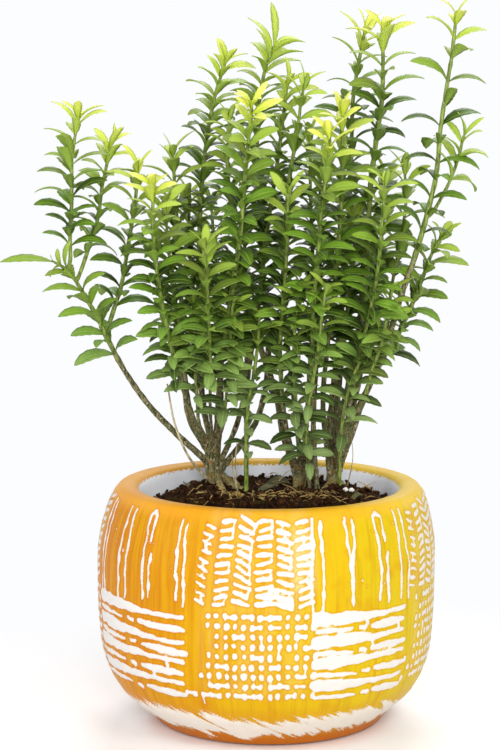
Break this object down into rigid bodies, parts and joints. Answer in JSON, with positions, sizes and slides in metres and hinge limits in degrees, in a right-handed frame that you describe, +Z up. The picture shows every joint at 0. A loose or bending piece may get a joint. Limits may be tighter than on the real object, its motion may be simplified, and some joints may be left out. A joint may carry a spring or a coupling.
{
  "type": "potted euonymus bonsai",
  "caption": "Small-leaved evergreen euonymus trained as a bonsai, leafy canes in woody clumps, in a round barrel-shaped pot with orange wash over white relief patterns.",
  "frame": {"origin": "centre of the pot's flat underside", "axes": "+Z up along the pot's axis; -Y is the front that the picture shows, +X is to its right"},
  "size_m": [0.2473, 0.1861, 0.3817],
  "materials": {
    "pot": "satin orange and yellow wash brushed over raised white slip patterns, bare white inside",
    "soil": "dark brown crumbly potting soil",
    "bark": "rough grey-brown bark",
    "root": "tan fibrous root",
    "perlite": "matte white",
    "dead_wood": "dry pale twig",
    "foliage": "smooth green leaves with a soft sheen, yellow-green at the tips, on green stems that turn to bark below"
  },
  "bodies": {
    "root": {"pot": "pot", "soil": "soil", "left_crown": "bark", "middle_crown": "bark", "right_crown": "bark", "left_surface_root": "root", "front_surface_root": "root", "middle_surface_root": "root", "perlite_grain_left": "perlite", "perlite_grain_right": "perlite", "dead_twig": "dead_wood", "left_arch_cane": "foliage", "far_left_shoot": "foliage", "left_inner_shoot": "foliage", "left_rising_shoot": "foliage", "left_back_cane": "foliage", "left_front_cane": "foliage", "tall_left_cane": "foliage", "front_middle_cane": "foliage", "middle_back_cane": "foliage", "tallest_middle_cane": "foliage", "left_slender_shoot": "foliage", "left_low_shoot": "foliage", "left_short_shoot": "foliage", "back_left_cane": "foliage", "rear_left_cane": "foliage", "rear_middle_cane": "foliage", "small_middle_shoot": "foliage", "seedling": "foliage", "middle_slender_cane": "foliage", "middle_leaning_cane": "foliage", "middle_front_shoot": "foliage", "middle_low_shoot": "foliage", "middle_slender_shoot": "foliage", "rear_centre_cane": "foliage", "rear_centre_tall_cane": "foliage", "right_back_tall_cane": "foliage", "right_main_cane": "foliage", "right_yellow_cane": "foliage", "right_front_cane": "foliage", "right_slender_cane": "foliage", "right_side_shoot": "foliage", "right_inner_cane": "foliage", "right_thin_shoot": "foliage", "right_front_shoot": "foliage", "outer_right_cane": "foliage", "green_sucker": "foliage", "right_mid_shoot": "foliage", "rear_right_cane": "foliage", "right_low_shoot": "foliage", "rear_right_leaning_cane": "foliage"}
  },
  "joints": []
}
